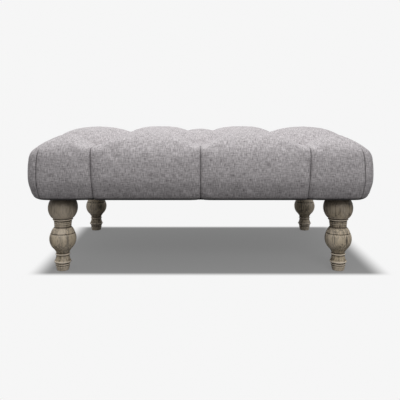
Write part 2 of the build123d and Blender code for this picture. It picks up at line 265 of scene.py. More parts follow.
# yarns of mixed light and dark fibres, woven one over one
def weaveGroup():
    group, inside, outside = newGroup(
        "yarnWeave", {"Vector": "Vector", "Pitch": "Float", "Dark": "Color", "Light": "Color"},
        {"Color": "Color", "Height": "Float"})
    place = inside.outputs["Vector"]
    down, across, flecks, broad = [
        noise(group, place, *yarn[name]) for name in ("down", "across", "flecks", "broad")]
    turns = maths(group, "DIVIDE", math.pi, inside.outputs["Pitch"])
    axes = splitAxes(group, place)
    warp, weft = [maths(group, "ABSOLUTE", maths(group, "SINE", maths(group, "MULTIPLY", axis, turns)))
                  for axis in (axes[0], axes[1])]
    threads = maths(group, "MULTIPLY", warp, weft)
    tone = weighted(group, (down, yarn["downShare"]), (across, yarn["acrossShare"]),
                    (flecks, yarn["fleckShare"]), (broad, yarn["broadShare"]), (threads, yarn["threadShare"]))
    tone = lifted(group, tone, yarn["toneFrom"], yarn["toneGain"])
    colour = mixColour(group, tone, inside.outputs["Dark"], inside.outputs["Light"])
    height = weighted(group, (threads, yarn["threadRise"]), (down, yarn["fibreRise"]),
                      (across, yarn["fibreRise"]))
    group.links.new(colour, outside.inputs["Color"])
    group.links.new(height, outside.inputs["Height"])
    return group


# lays the cloth's threads along the faces: across and down each side, in metres
def layCloth(mesh):
    points = readPoints(mesh)
    corners = np.empty(len(mesh.loops), dtype=np.int32)
    mesh.loops.foreach_get("vertex_index", corners)
    counts = np.empty(len(mesh.polygons), dtype=np.int32)
    mesh.polygons.foreach_get("loop_total", counts)
    facing = np.empty(len(mesh.polygons) * 3)
    mesh.polygons.foreach_get("normal", facing)
    steep = np.repeat(np.abs(facing.reshape(-1, 3)), counts, axis=0)
    at = points[corners]
    side = (steep[:, 0] > steep[:, 1]) & (steep[:, 0] > steep[:, 2])
    top = (steep[:, 2] >= steep[:, 0]) & (steep[:, 2] >= steep[:, 1])
    across = np.where(side, at[:, 1] + fabric["sideShift"], at[:, 0])
    down = np.where(top, at[:, 1] + fabric["topShift"], at[:, 2])
    layer = mesh.uv_layers.new(name="Cloth")
    layer.data.foreach_set("uv", np.column_stack([across, down]).ravel())


# painted shade: thin dark lines in the pleats and corner seams, and darker along the cloth's lower edge,
# where it turns under
creaseShade = {"pleatShadeShare": 0.66, "seamShadeShare": 0.7, "edgeShadeShare": 0.96, "shadeShare": 0.3,
           "lineCore": 0.0007, "lineSoft": 0.0024, "pleatFade": (0.372, 0.345),
           "edgeShadeFade": (0.0105, 0.004), "shadeFade": (0.085, 0.0), "edgeReach": 0.043}


def creaseShadeGroup():
    group, inside, outside = newGroup("paintedCreaseShade", {"Vector": "Vector"}, {"Mask": "Float"})
    axes = splitAxes(group, inside.outputs["Vector"])
    x = maths(group, "ABSOLUTE", axes[0])
    y = maths(group, "ABSOLUTE", axes[1])
    z = axes[2]
    core = creaseShade["lineCore"]
    soft = creaseShade["lineSoft"]
    # painted shade in the pleats of the front and back, the outer ones leaning in, then in those of the ends
    lean = maths(group, "DIVIDE", maths(group, "SUBTRACT", body["leanTop"], z), body["leanSpan"], clamp=True)
    outerX = maths(group, "ADD", maths(group, "SUBTRACT", x, body["buttonX"] + body["pleatOut"]),
                   maths(group, "MULTIPLY", lean, body["pleatLean"]))
    front = fade(group, maths(group, "MINIMUM", x, maths(group, "ABSOLUTE", outerX)), soft, core)
    front = maths(group, "MULTIPLY", front, maths(group, "GREATER_THAN", y, body["buttonY"]))
    side = fade(group, apart(group, y, body["buttonY"]), soft, core)
    side = maths(group, "MULTIPLY", side, maths(group, "GREATER_THAN", x, body["buttonX"]))
    pleats = maths(group, "MAXIMUM", front, side)
    pleats = maths(group, "MULTIPLY", pleats, fade(group, z, *creaseShade["pleatFade"]))
    # painted shade in the seams at the corners, seen from the middle of the corner's round
    turn = math.radians(body["seamAngle"])
    a = maths(group, "SUBTRACT", x, cadBox[1].x - body["cornerRadius"])
    b = maths(group, "SUBTRACT", y, cadBox[1].y - body["cornerRadius"])
    off = maths(group, "SUBTRACT", maths(group, "MULTIPLY", a, math.cos(turn)),
                maths(group, "MULTIPLY", b, math.sin(turn)))
    out = weighted(group, (a, math.sin(turn)), (b, math.cos(turn)))
    seam = maths(group, "MULTIPLY", fade(group, maths(group, "ABSOLUTE", off), soft, core),
                 maths(group, "GREATER_THAN", out, body["seamInner"]))
    seam = maths(group, "MULTIPLY", seam, fade(group, z, body["seamTop"], body["seamTop"] - body["seamFade"]))
    # painted shade along the lower edge, darker towards the bottom
    rim = maths(group, "MAXIMUM", maths(group, "GREATER_THAN", x, cadBox[1].x - creaseShade["edgeReach"]),
                maths(group, "GREATER_THAN", y, cadBox[1].y - creaseShade["edgeReach"]))
    height = maths(group, "SUBTRACT", z, body["underside"])
    edge = maths(group, "MULTIPLY", fade(group, height, *creaseShade["edgeShadeFade"]), creaseShade["edgeShadeShare"])
    shade = maths(group, "MULTIPLY", fade(group, height, *creaseShade["shadeFade"]), creaseShade["shadeShare"])
    edge = maths(group, "MULTIPLY", rim, maths(group, "MAXIMUM", edge, shade))
    lineShade = maths(group, "MAXIMUM", maths(group, "MULTIPLY", pleats, creaseShade["pleatShadeShare"]),
                 maths(group, "MULTIPLY", seam, creaseShade["seamShadeShare"]))
    group.links.new(maths(group, "MAXIMUM", lineShade, edge), outside.inputs["Mask"])
    return group


def fabricMaterial():
    material, tree, shader = newMaterial("melangeCloth", fabric["roughness"])
    place = addNode(tree, "ShaderNodeUVMap", uv_map="Cloth").outputs[0]
    cloth = useGroup(tree, weaveGroup(), place,
                     Pitch=fabric["pitch"], Dark=fabric["dark"], Light=fabric["light"])
    # painted shade from the fold attribute and the crease lines darkens the cloth's colour
    lines = useGroup(tree, creaseShadeGroup(), objectPlace(tree))
    foldShade = maths(tree, "MAXIMUM", attribute(tree, "foldShade"), lines.outputs["Mask"])
    colour = mixColour(tree, foldShade, cloth.outputs["Color"], fabric["foldShade"])
    tree.links.new(colour, shader.inputs["Base Color"])
    shader.inputs["Sheen Weight"].default_value = fabric["sheen"]
    shader.inputs["Sheen Roughness"].default_value = fabric["sheenRoughness"]
    shader.inputs["Specular IOR Level"].default_value = fabric["specular"]
    addBump(tree, shader, cloth.outputs["Height"], fabric["bump"], fabric["bumpDistance"])
    return material


# the padded body
body = {
    # places of the buttons and levels of the form
    "buttonX": 0.295, "buttonY": 0.162, "puffFloor": 0.3328, "underside": 0.2048, "cornerRadius": 0.05,
    "fillerGap": 0.0005, "fillerCover": 0.0008, "voxel": 0.006, "smoothing": 6, "smoothShare": 0.5,
    "startInset": 0.0012,
    # what the filling does, and what holds it back
    "pressure": 4.0, "slack": -0.012, "frames": 20, "cap": 0.009, "faceTop": 0.32, "faceShare": 0.6,
    "quality": 4, "mass": 0.3, "stiffness": 20, "shear": 8, "bending": 0.8, "buttonPin": 0.017,
    "creasePin": 0.007, "creaseHold": 0.7, "hemPin": 0.006, "topPin": 0.02, "underBand": 0.012,
    # folds and pleats; the outer pleats of the front and back lean in towards the floor
    "creaseDepth": 0.0035, "creaseWidth": 0.0045, "creaseBelow": 0.004, "pleatDepth": 0.0045,
    "pleatWidth": 0.003, "pleatFloor": 0.004, "pleatOut": 0.003, "pleatLean": 0.0075,
    "leanTop": 0.345, "leanSpan": 0.14,
    # corner seams, their angle in degrees round the corner from the front
    "seamDepth": 0.0018, "seamWidth": 0.0026, "seamAngle": 19, "seamInner": 0.008,
    "seamTop": 0.354, "seamFade": 0.022,
    # the stuffing's own bulges
    "rollPush": 0.0065, "rollLevel": 0.01, "rollSpan": 0.015, "rollGain": 2, "sideLeast": 0.1,
    "settleFrom": 0.32, "settleSpan": 0.03,
    "endPuffX": 0.412, "endPuffSpan": 0.045, "endPuffRise": 0.006, "cornerX": 0.4, "cornerSpan": 0.05,
    "cornerDrop": 0.005,
    # dimples and gathers round the buttons
    "dimpleDepth": 0.0035, "dimpleWidth": 0.017, "ringWidth": 0.0022, "gathers": 9, "gatherHeight": 0.0016,
    "gatherReach": 0.035, "gatherStart": 0.014, "gatherTurn": 1.7,
    # the lower edge and the flat underside
    "underRoll": 0.0385, "underLevel": 0.0002, "underFacing": -0.5, "edgeDrop": 0.0028, "edgeSpan": 0.009,
    "edgeBand": 0.03,
    # shares of the fold colour, painted shade in the folds, pleats, seams and round the buttons
    "creaseShadePaint": 0.4, "pleatShadePaint": 0.22, "seamShadePaint": 0.15, "ringShadePaint": 0.75}

farAway = 1.0  # more than any distance on the body
tiny = 1e-9


def buttonPlaces():
    bx = body["buttonX"]
    by = body["buttonY"]
    return [(x, y) for y in (-by, by) for x in (-bx, 0, bx)] + [(-bx / 2, 0), (bx / 2, 0)]


# distance in plan from the folds that run between neighbouring buttons
def foldDistance(points):
    bx = body["buttonX"]
    by = body["buttonY"]
    near = np.full(len(points), farAway)
    for middle in (-bx / 2, bx / 2):
        for end in (middle - bx / 2, middle + bx / 2):
            for row in (-by, by):
                along = np.array([end - middle, row])
                offset = points[:, :2] - np.array([middle, 0])
                share = np.clip(offset @ along / (along @ along), 0, 1)
                near = np.minimum(near, np.linalg.norm(offset - share[:, None] * along, axis=1))
    return near


# distance from the pleats that run from the outer buttons over the edge and down the faces
def pleatDistance(points):
    bx = body["buttonX"]
    by = body["buttonY"]
    x = points[:, 0]
    y = points[:, 1]
    near = np.full(len(points), farAway)
    lean = np.clip((body["leanTop"] - points[:, 2]) / body["leanSpan"], 0, 1)
    outer = bx + body["pleatOut"] - body["pleatLean"] * lean
    for line in (-outer, 0, outer):
        near = np.where(np.abs(y) > by, np.minimum(near, np.abs(x - line)), near)
    for line in (-by, by):
        near = np.where(np.abs(x) > bx, np.minimum(near, np.abs(y - line)), near)
    return near


def seamDistance(points):
    high = cadBox[1]
    a = np.abs(points[:, 0]) - (high.x - body["cornerRadius"])
    b = np.abs(points[:, 1]) - (high.y - body["cornerRadius"])
    turn = math.radians(body["seamAngle"])
    off = np.abs(a * math.cos(turn) - b * math.sin(turn))
    out = a * math.sin(turn) + b * math.cos(turn) > body["seamInner"]
    return np.where(out, off, farAway)


def buttonDistance(points):
    near = np.full(len(points), farAway)
    for place in buttonPlaces():
        near = np.minimum(near, np.linalg.norm(points[:, :2] - np.array(place), axis=1))
    return near


# one closed skin over the cover's CAD form, with its hollow filled
def startForm():
    bm = bmesh.new()
    bm.from_mesh(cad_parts["cover"].data)
    bmesh.ops.remove_doubles(bm, verts=bm.verts, dist=mergeDistance)
    low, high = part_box("deck_panel")
    filler = bmesh.ops.create_cube(bm, size=1.0)["verts"]
    bottom = body["underside"] + body["fillerGap"]
    size = Vector((high.x - low.x, high.y - low.y, body["puffFloor"] - body["fillerCover"] - bottom))
    bmesh.ops.scale(bm, vec=size, verts=filler)
    bmesh.ops.translate(bm, vec=(0, 0, bottom + size.z / 2), verts=filler)
    mesh = bpy.data.meshes.new("paddedBody")
    bm.to_mesh(mesh)
    bm.free()
    piece = bpy.data.objects.new("paddedBody", mesh)
    bpy.context.scene.collection.objects.link(piece)
    remesh = piece.modifiers.new("skin", "REMESH")
    remesh.mode = "VOXEL"
    remesh.voxel_size = body["voxel"]
    applyModifiers(piece)
    bm = bmesh.new()
    bm.from_mesh(piece.data)
    for step in range(body["smoothing"]):
        bmesh.ops.smooth_vert(bm, verts=bm.verts, factor=body["smoothShare"],
                              use_axis_x=True, use_axis_y=True, use_axis_z=True)
    bm.to_mesh(piece.data)
    bm.free()
    return piece


# fills the skin with air while its hem, buttons, folds and pleats are held
def inflate(piece):
    mesh = piece.data
    start = readPoints(mesh)
    inset = body["startInset"] * (start[:, 2] > body["underside"] + body["underBand"])
    start -= readNormals(mesh) * inset[:, None]
    writePoints(mesh, start)
    pins = piece.vertex_groups.new(name="held")
    hold = body["creaseHold"]
    hem = start[:, 2] < body["underside"] + body["hemPin"]
    lowTop = start[:, 2] < body["puffFloor"] + body["topPin"]
    weight = np.where(hem, 1.0, 0.0)
    weight = np.where((buttonDistance(start) < body["buttonPin"]) & lowTop, 1.0, weight)
    weight = np.where((foldDistance(start) < body["creasePin"]) & lowTop, np.maximum(weight, hold), weight)
    weight = np.where(pleatDistance(start) < body["creasePin"], np.maximum(weight, hold), weight)
    for share in (hold, 1.0):
        pins.add(np.flatnonzero(np.isclose(weight, share)).tolist(), share, "REPLACE")
    cloth = piece.modifiers.new("fill", "CLOTH")
    settings = cloth.settings
    settings.quality = body["quality"]
    settings.mass = body["mass"]
    settings.tension_stiffness = body["stiffness"]
    settings.compression_stiffness = body["stiffness"]
    settings.shear_stiffness = body["shear"]
    settings.bending_stiffness = body["bending"]
    settings.vertex_group_mass = "held"
    settings.shrink_min = body["slack"]
    settings.use_pressure = True
    settings.uniform_pressure_force = body["pressure"]
    settings.effector_weights.gravity = 0
    cloth.collision_settings.use_collision = False
    cloth.point_cache.frame_start = 1
    cloth.point_cache.frame_end = body["frames"]
    scene = bpy.context.scene
    for step in range(1, body["frames"] + 1):
        scene.frame_set(step)
    applyModifiers(piece)
    scene.frame_set(1)
    mesh = piece.data
    shift = readPoints(mesh) - start
    reach = np.linalg.norm(shift, axis=1)
    limit = body["cap"] * np.tanh(reach / body["cap"]) / np.maximum(reach, tiny)
    # the faces are drawn tighter than the puffs
    soft = np.where(start[:, 2] < body["faceTop"], body["faceShare"], 1.0)
    writePoints(mesh, start + shift * (limit * soft)[:, None])
    print("padded body filled, largest move", round(float((reach * limit).max() * 1000), 1), "mm")


# a full roll over the lower edge, high end puffs and low corners
def settle(points, normals):
    side = np.hypot(normals[:, 0], normals[:, 1])
    height = points[:, 2] - body["underside"]
    roll = body["rollPush"] * bell(height - body["rollLevel"], body["rollSpan"]) * np.clip(
        body["rollGain"] * side, 0, 1)
    edgeX = np.abs(points[:, 0]) - cadBox[1].x
    edgeY = np.abs(points[:, 1]) - cadBox[1].y
    outer = np.maximum(edgeX, edgeY) > -body["underRoll"]
    roll = np.where(outer, roll, 0)
    points[:, :2] += normals[:, :2] / np.maximum(side, body["sideLeast"])[:, None] * roll[:, None]
    x = np.abs(points[:, 0])
    y = np.abs(points[:, 1])
    top = np.clip((points[:, 2] - body["settleFrom"]) / body["settleSpan"], 0, 1)
    endPuff = bell(x - body["endPuffX"], body["endPuffSpan"]) * bell(y, body["buttonY"], 4)
    corner = np.clip((x - body["cornerX"]) / body["cornerSpan"], 0, 1) * np.clip(
        (y - body["buttonY"]) / body["cornerSpan"], 0, 1)
    points[:, 2] += top * (body["endPuffRise"] * endPuff - body["cornerDrop"] * corner)


# small gathers that fan out from each button
def gatherRipple(points):
    ripple = np.zeros(len(points))
    for index, place in enumerate(buttonPlaces()):
        offset = points[:, :2] - np.array(place)
        turn = np.arctan2(offset[:, 1], offset[:, 0])
        reach = np.linalg.norm(offset, axis=1)
        share = bell(reach, body["gatherReach"]) * np.clip(reach / body["gatherStart"], 0, 1)
        ripple += np.sin(body["gathers"] * turn + index * body["gatherTurn"]) * share
    return ripple


# carves folds, pleats, corner seams and dimples, and draws the lower edge down to one level
def dressForm(piece):
    mesh = piece.data
    points = readPoints(mesh)
    normals = readNormals(mesh)
    onTop = points[:, 2] > body["puffFloor"] - body["creaseBelow"]
    crease = np.where(onTop, bell(foldDistance(points), body["creaseWidth"]), 0)
    above = points[:, 2] > body["underside"] + body["pleatFloor"]
    pleat = np.where(above, bell(pleatDistance(points), body["pleatWidth"]), 0)
    seam = np.where(above, bell(seamDistance(points), body["seamWidth"]), 0)
    seam *= np.clip((body["seamTop"] - points[:, 2]) / body["seamFade"], 0, 1)
    away = buttonDistance(points)
    ripple = np.where(onTop, gatherRipple(points), 0)
    settle(points, normals)
    depth = crease * body["creaseDepth"] + pleat * body["pleatDepth"] + seam * body["seamDepth"]
    depth = np.where(away < button["radius"], 0, depth)
    depth += np.where(onTop, body["dimpleDepth"] * bell(away, body["dimpleWidth"], 4), 0)
    ringShade = np.where(onTop, bell(away - button["radius"], body["ringWidth"]), 0)
    points += normals * (ripple * body["gatherHeight"] - depth)[:, None]
    inner = (np.abs(points[:, 0]) < cadBox[1].x - body["underRoll"]) & (
        np.abs(points[:, 1]) < cadBox[1].y - body["underRoll"])
    facingDown = normals[:, 2] < body["underFacing"]
    under = inner & facingDown & (points[:, 2] < body["underside"] + body["underBand"])
    floor = body["underside"] + body["underLevel"]
    drop = body["edgeDrop"] * bell(points[:, 2] - floor, body["edgeSpan"])
    low = points[:, 2] < body["underside"] + body["edgeBand"]
    points[:, 2] = np.where(low, np.maximum(points[:, 2] - drop, floor), points[:, 2])
    points[:, 2] = np.where(under, floor, points[:, 2])
    writePoints(mesh, points)
    # painted shade: the fold colour darkens the folds between the buttons, the pleats, the corner seams and a
    # ring round each button
    shadePaint = body["creaseShadePaint"] * crease**3 + body["pleatShadePaint"] * pleat + body["seamShadePaint"] * seam
    paintPoints(mesh, "foldShade", np.clip(shadePaint + body["ringShadePaint"] * ringShade, 0, 1))


def buildBody():
    piece = startForm()
    inflate(piece)
    fine = piece.modifiers.new("fine", "SUBSURF")
    fine.levels = 1
    fine.render_levels = 1
    applyModifiers(piece)
    dressForm(piece)
    layCloth(piece.data)
    piece.data.shade_smooth()
    setMaterial(piece, clothMaterial)
    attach(piece, "root")
    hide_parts("cover", "foam_block", "front_pad", "rear_pad", "left_pad", "right_pad")
    print("padded body ready,", len(piece.data.polygons), "faces")


# covered buttons, whose cloth is gathered below and nearly smooth on top
button = {"radius": 0.0128, "height": 0.0082, "rim": 0.0026, "gathers": 14, "gatherDepth": 0.00035,
          "gatherTop": 0.15, "topShare": 0.3, "sides": 40, "rings": 20}


def buildButtons():
    bm = bmesh.new()
    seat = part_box("button_caps")[0].z
    for index, (x, y) in enumerate(buttonPlaces()):
        ball = bmesh.ops.create_uvsphere(bm, u_segments=button["sides"], v_segments=button["rings"],
                                         radius=1.0)["verts"]
        for vert in ball:
            turn = math.atan2(vert.co.y, vert.co.x)
            rise = vert.co.z
            out = math.hypot(vert.co.x, vert.co.y)
            flat = button["height"] - button["rim"] if rise > 0 else button["rim"]
            share = 1 if rise < button["gatherTop"] else button["topShare"]
            wave = math.sin(turn * button["gathers"] + index)
            spread = out * button["radius"] * (1 - button["gatherDepth"] / button["radius"] * wave * share)
            vert.co = Vector((x + spread * math.cos(turn), y + spread * math.sin(turn),
                              seat + button["rim"] + rise * flat))
    piece = meshPiece("coveredButtons", bm)
    layCloth(piece.data)
    paintPoints(piece.data, "foldShade", np.zeros(len(piece.data.vertices)))
    setMaterial(piece, clothMaterial)
    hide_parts("button_caps")
    print("buttons ready")


clothMaterial = fabricMaterial()
print("cloth material ready")
buildBody()
buildButtons()

# weathered, limed oak
wood = {"dark": (0.06, 0.044, 0.028, 1), "middle": (0.67, 0.555, 0.395, 1), "light": (0.95, 0.83, 0.68, 1),
        "roughness": 0.6, "bump": 0.6, "bumpDistance": 0.0006, "wornHighlightShare": 0.95, "hollowDarkAndShadeShare": 0.95,
        "shadeFrom": 0.135, "shadeShare": 0.85}

# the scales are along X, Y and Z, and the grain runs along Z
grainForm = {"bands": ((75, 75, 5), 4.0, 0.6), "fibres": ((330, 330, 16), 3.0, 0.6),
             "pores": ((900, 900, 40), 2.0, 0.5), "patches": ((26, 26, 12), 3.0, 0.5),
             "bandShare": 0.5, "fibreShare": 0.75, "mixFrom": 0.5, "mixGain": 6.0,
             "bloomFrom": 0.42, "bloomGain": 4.0, "bloomShare": 0.6,
             "holeFrom": 0.6, "holeGain": 6.0, "holeShare": 0.85, "holeDepth": 0.8}


# long fibres, a pale bloom and open pores
def grainGroup():
    group, inside, outside = newGroup(
        "woodGrain", {"Vector": "Vector", "Dark": "Color", "Middle": "Color", "Light": "Color"},
        {"Color": "Color", "Height": "Float"})
    place, dark, middle, light = [inside.outputs[name] for name in ("Vector", "Dark", "Middle", "Light")]
    bands, fibres, pores, patches = [
        noise(group, place, *grainForm[name]) for name in ("bands", "fibres", "pores", "patches")]
    mix = lifted(group, weighted(group, (bands, grainForm["bandShare"]), (fibres, grainForm["fibreShare"])),
                 grainForm["mixFrom"], grainForm["mixGain"])
    colour = mixColour(group, mix, dark, middle)
    bloom = lifted(group, patches, grainForm["bloomFrom"], grainForm["bloomGain"])
    colour = mixColour(group, maths(group, "MULTIPLY", bloom, grainForm["bloomShare"]), colour, light)
    holes = lifted(group, pores, grainForm["holeFrom"], grainForm["holeGain"])
    colour = mixColour(group, maths(group, "MULTIPLY", holes, grainForm["holeShare"]), colour, dark)
    height = maths(group, "SUBTRACT", fibres, maths(group, "MULTIPLY", holes, grainForm["holeDepth"]))
    group.links.new(colour, outside.inputs["Color"])
    group.links.new(height, outside.inputs["Height"])
    return group


# the turned legs; the groove sizes are in millimetres, like the outline
leg = {"steps": 72, "arcPieces": 9, "grooves": ((128.4, 23.9), (133.2, 24.5), (138.0, 25.0)),
       "grooveHalf": 1.3, "grooveDepth": 1.3, "lip": 0.2, "lipRise": 1.0, "sharpAngle": 50, "turnStep": 1.3,
       "reliefSamples": 400, "reliefReach": 8, "reliefDepth": 0.0008}


# radius and level of each turned member in millimetres, from the floor up
def legOutline():
    points = [(0, 0.0), (14.6, 0.0)]

    def line(radius, level):
        points.append((radius, level))

    # a curve through a middle point to an end
    def bulge(by, byLevel, radius, level):
        startR, startZ = points[-1]
        for step in range(1, leg["arcPieces"] + 1):
            t = step / leg["arcPieces"]
            pull = 2 * by - 0.5 * (startR + radius)
            pullZ = 2 * byLevel - 0.5 * (startZ + level)
            points.append(((1 - t)**2 * startR + 2 * t * (1 - t) * pull + t * t * radius,
                           (1 - t)**2 * startZ + 2 * t * (1 - t) * pullZ + t * t * level))

    # part of a ball from the last point's level to the next
    def zone(diameter, centre, level):
        startZ = points[-1][1]
        low = math.asin(max(-1, min(1, (startZ - centre) / (diameter / 2))))
        high = math.asin(max(-1, min(1, (level - centre) / (diameter / 2))))
        count = 2 * leg["arcPieces"]
        for step in range(1, count + 1):
            turn = low + (high - low) * step / count
            points.append((diameter / 2 * math.cos(turn), centre + diameter / 2 * math.sin(turn)))

    # foot, its beads and the lower neck
    bulge(16.2, 0.5, 16.9, 2.6)
    line(19.0, 11.0)
    bulge(19.3, 12.4, 18.4, 13.6)
    line(17.9, 14.6)
    bulge(20.5, 17.5, 17.9, 20.3)
    line(18.4, 20.6)
    bulge(23.3, 23.6, 22.4, 27.5)
    line(21.9, 27.9)
    bulge(19.4, 35.0, 18.2, 41.3)
    line(18.1, 43.4)
    bulge(20.4, 45.6, 18.1, 47.7)
    line(18.1, 49.6)
    # lower ball with its scored line
    bulge(20.9, 55.6, 26.0, 62.0)
    zone(74.8, 88.8, 103.4)
    line(33.9, 104.0)
    line(32.5, 104.5)
    line(32.9, 105.2)
    zone(69.0, 96.5, 121.6)
    # upper neck with its grooves and ring, then the upper ball up to the seat
    line(23.3, 122.3)
    for level, radius in leg["grooves"]:
        line(radius, level - leg["grooveHalf"])
        line(radius - leg["grooveDepth"], level)
        line(radius + leg["lip"], level + leg["lipRise"])
    line(25.4, 140.6)
    bulge(28.4, 143.0, 25.6, 145.4)
    line(26.6, 145.8)
    zone(82.8, 175.7, 203.4)
    line(30.0, 204.0)
    line(0, 204.0)
    return [(radius / 1000, level / 1000) for radius, level in points]


# lighter on what stands proud of the turning, as wear and painted highlight; darker in its hollows, and
# painted shade under the body
def paintWearHighlightAndShade(mesh, outline, heights):
    levels = np.array([level for radius, level in outline[1:-1]])
    radii = np.array([radius for radius, level in outline[1:-1]])
    even = np.linspace(0, levels[-1], leg["reliefSamples"])
    shape = np.interp(even, levels, radii)
    window = 2 * leg["reliefReach"] + 1
    padded = np.pad(shape, leg["reliefReach"], mode="edge")
    broad = np.convolve(padded, np.ones(window) / window, mode="valid")
    relief = np.interp(heights, even, (shape - broad) / leg["reliefDepth"])
    paintPoints(mesh, "wornAndHighlight", np.clip(relief, 0, 1))
    # painted shade: darker towards the top of the leg, under the body
    under = np.clip((heights - wood["shadeFrom"]) / (levels[-1] - wood["shadeFrom"]), 0, 1)
    paintPoints(mesh, "hollowDarkAndShade", np.clip(-relief, 0, 1) + wood["shadeShare"] * under)


def buildLeg(node, spinStart):
    low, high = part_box(node)
    middle = Vector(((low.x + high.x) / 2, (low.y + high.y) / 2, low.z))
    outline = legOutline()
    bm = bmesh.new()
    verts = [bm.verts.new((radius, 0, level)) for radius, level in outline]
    edges = [bm.edges.new(pair) for pair in zip(verts, verts[1:])]
    bmesh.ops.spin(bm, geom=verts + edges, cent=(0, 0, 0), axis=(0, 0, 1), dvec=(0, 0, 0),
                   angle=2 * math.pi, steps=leg["steps"], use_merge=True)
    stretch = (high.z - low.z) / outline[-1][1]
    bmesh.ops.scale(bm, vec=(1, 1, stretch), verts=bm.verts)
    bmesh.ops.rotate(bm, cent=(0, 0, 0), matrix=Matrix.Rotation(spinStart, 3, "Z"), verts=bm.verts)
    bmesh.ops.translate(bm, vec=middle, verts=bm.verts)
    piece = meshPiece(node.replace("leg_", "turnedLeg_"), bm)
    piece.data.set_sharp_from_angle(angle=math.radians(leg["sharpAngle"]))
    paintWearHighlightAndShade(piece.data, outline, readPoints(piece.data)[:, 2] / stretch)
    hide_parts(node)
    return piece


def legMaterial():
    material, tree, shader = newMaterial("weatheredOak", wood["roughness"])
    turning = useGroup(tree, grain, objectPlace(tree),
                       Dark=wood["dark"], Middle=wood["middle"], Light=wood["light"])
    colour = turning.outputs["Color"]
    # wear and painted highlight on the proud rings, then darker hollows and painted shade under the body
    wornAndHighlight = maths(tree, "MULTIPLY", attribute(tree, "wornAndHighlight"), wood["wornHighlightShare"], clamp=True)
    colour = mixColour(tree, wornAndHighlight, colour, wood["light"])
    hollowDarkAndShade = maths(tree, "MULTIPLY", attribute(tree, "hollowDarkAndShade"), wood["hollowDarkAndShadeShare"], clamp=True)
    colour = mixColour(tree, hollowDarkAndShade, colour, wood["dark"])
    tree.links.new(colour, shader.inputs["Base Color"])
    addBump(tree, shader, turning.outputs["Height"], wood["bump"], wood["bumpDistance"])
    return material


grain = grainGroup()
oak = legMaterial()
for turn, corner in enumerate(("front_left", "front_right", "rear_right", "rear_left")):
    setMaterial(buildLeg("leg_" + corner, turn * leg["turnStep"]), oak)
print("legs ready")

# the dust cover, which sags between its stapled edges
lining = {"sag": 0.0035, "sagBase": 0.6, "sagWave": 5, "slackGain": 6, "hem": 0.014, "hemDrop": 0.0004,
          "cuts": 90, "cutsShare": 0.68, "clearance": 0.0002, "waveHeight": 0.0003, "waveX": 90, "waveY": 70,
          "roughness": 0.9, "dark": (0.012, 0.012, 0.013), "light": (0.035, 0.035, 0.037),
          "fibres": ((700, 700, 1), 4.0, 0.7), "dotScale": 420, "bump": 0.4, "bumpDistance": 0.0004}


def liningMaterial():
    material, tree, shader = newMaterial("liningCloth", lining["roughness"])
    place = objectPlace(tree)
    fibres = noise(tree, place, *lining["fibres"])
    dots = addNode(tree, "ShaderNodeTexVoronoi")
    dots.inputs["Scale"].default_value = lining["dotScale"]
    tree.links.new(place, dots.inputs["Vector"])
    tree.links.new(twoTone(tree, fibres, lining["dark"], lining["light"]), shader.inputs["Base Color"])
    height = maths(tree, "ADD", fibres, dots.outputs["Distance"])
    addBump(tree, shader, height, lining["bump"], lining["bumpDistance"])
    return material


def buildLining():
    low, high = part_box("dust_cover")
    bm = bmesh.new()
    bmesh.ops.create_grid(bm, x_segments=lining["cuts"], y_segments=int(lining["cuts"] * lining["cutsShare"]),
                          size=0.5)
    bmesh.ops.scale(bm, vec=(high.x - low.x, high.y - low.y, 1), verts=bm.verts)
    for vert in bm.verts:
        x, y = vert.co.xy
        slackX = min(1, lining["slackGain"] * (1 - abs(x) / high.x))
        slackY = min(1, lining["slackGain"] * (1 - abs(y) / high.y))
        slack = slackX * slackY
        hem = min(high.x - abs(x), high.y - abs(y)) < lining["hem"]
        wave = lining["waveHeight"] * math.sin(x * lining["waveX"]) * math.sin(y * lining["waveY"] + 1)
        hang = lining["sagBase"] + (1 - lining["sagBase"]) * math.cos(x * lining["sagWave"])
        vert.co.z = high.z - lining["clearance"] - lining["sag"] * slack * hang + wave * slack
        vert.co.z -= lining["hemDrop"] if hem else 0
    piece = meshPiece("dustCover", bm)
    setMaterial(piece, liningMaterial())
    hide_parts("dust_cover")


# staples along the dust cover's edge, each turned a little by a formula of its place
staple = {"spacing": 0.042, "edge": 0.007, "inset": 0.03, "width": 0.0105, "wire": 0.0007, "flatShare": 1.4,
          "bevelShare": 0.3, "lift": 0.0001, "tilt": 0.12, "tiltX": 91, "tiltY": 57, "roughness": 0.35,
          "dark": (0.5, 0.5, 0.51), "light": (0.75, 0.75, 0.76), "scratches": ((900, 900, 300), 3.0, 0.6)}


def stapleSpots():
    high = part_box("dust_cover")[1]
    spots = []
    for side, reach, run in (("y", high.y - staple["edge"], high.x), ("x", high.x - staple["edge"], high.y)):
        half = run - staple["inset"]
        count = int(2 * half / staple["spacing"])
        for index in range(count + 1):
            along = -half + 2 * half * index / count
            for sign in (-1, 1):
                spots.append((along, sign * reach, 0) if side == "y" else (sign * reach, along, math.pi / 2))
    return spots


